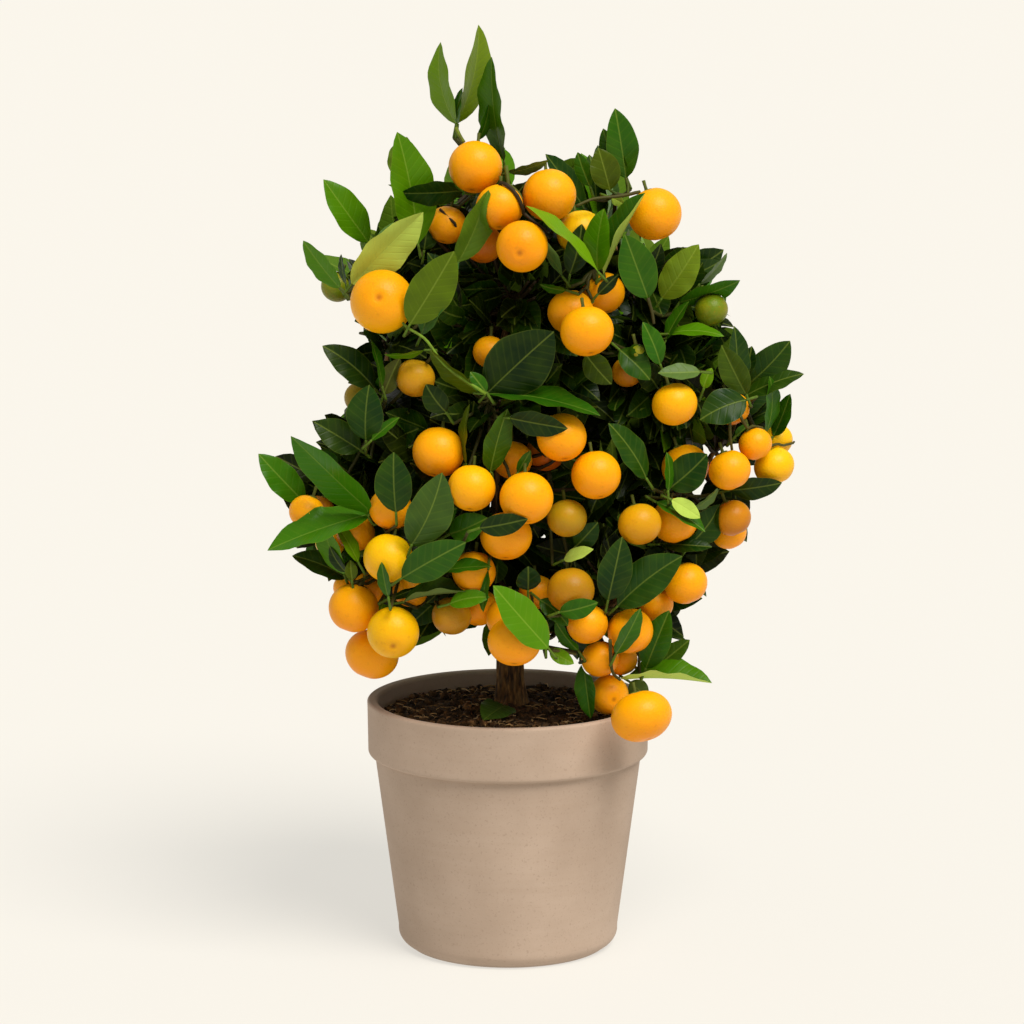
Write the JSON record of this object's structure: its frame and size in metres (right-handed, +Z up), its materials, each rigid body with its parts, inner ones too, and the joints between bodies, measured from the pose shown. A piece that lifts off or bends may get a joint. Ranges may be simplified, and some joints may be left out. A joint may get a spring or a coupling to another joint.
{
  "type": "potted calamondin",
  "caption": "Small calamondin citrus tree with ripe orange fruit and glossy leaves in a plain round clay pot, standing on its flat foot.",
  "frame": {"origin": "centre of the pot's flat foot, where it stands", "axes": "+Z up along the pot's axis; -Y is the front, the side of the crown that carries most fruit; +X to the right seen from the front"},
  "size_m": [0.2631, 0.215, 0.4575],
  "materials": {
    "clay": "matt, unglazed",
    "soil": "loose, fibrous potting soil",
    "bark": "grooved bark",
    "fruit_skin": "satin, finely pored citrus peel",
    "leaf": "waxy, glossy above and dull below"
  },
  "bodies": {
    "root": {"fruit_before_rim": "fruit_skin", "fruit_far_right": "fruit_skin", "fruit_far_right_tip": "fruit_skin", "fruit_heart": "fruit_skin", "fruit_left_bright": "fruit_skin", "fruit_left_heart": "fruit_skin", "fruit_left_low": "fruit_skin", "fruit_left_lower": "fruit_skin", "fruit_left_lowest": "fruit_skin", "fruit_left_middle": "fruit_skin", "fruit_left_shoulder": "fruit_skin", "fruit_low_right": "fruit_skin", "fruit_lowest_centre": "fruit_skin", "fruit_right_face": "fruit_skin", "fruit_right_heart": "fruit_skin", "fruit_right_middle": "fruit_skin", "fruit_right_shoulder": "fruit_skin", "fruit_right_top": "fruit_skin", "fruit_top_left": "fruit_skin", "fruit_top_right": "fruit_skin", "fruit_under_heart": "fruit_skin", "fruit_upper_centre": "fruit_skin", "limb_back": "bark", "limb_front": "bark", "limb_leader": "bark", "limb_left": "bark", "limb_low_right": "bark", "limb_right": "bark", "pot": "clay", "soil": "soil", "spray_back_heart": "leaf", "spray_back_low_left": "leaf", "spray_back_low_right": "leaf", "spray_back_middle": "leaf", "spray_back_shoulder_left": "leaf", "spray_back_shoulder_right": "leaf", "spray_back_side_left": "leaf", "spray_back_side_right": "leaf", "spray_back_top": "leaf", "spray_back_top_side": "leaf", "spray_far_right": "leaf", "spray_heart": "leaf", "spray_left_arm": "leaf", "spray_left_face": "leaf", "spray_left_low": "leaf", "spray_left_middle": "leaf", "spray_left_shoulder": "leaf", "spray_left_side": "leaf", "spray_low_centre": "leaf", "spray_over_rim": "leaf", "spray_right_arm": "leaf", "spray_right_low": "leaf", "spray_right_shoulder": "leaf", "spray_right_side": "leaf", "spray_right_upper": "leaf", "spray_top": "leaf", "spray_top_left": "leaf", "spray_top_right": "leaf", "spray_under_heart": "leaf", "trunk": "bark"}
  },
  "joints": []
}
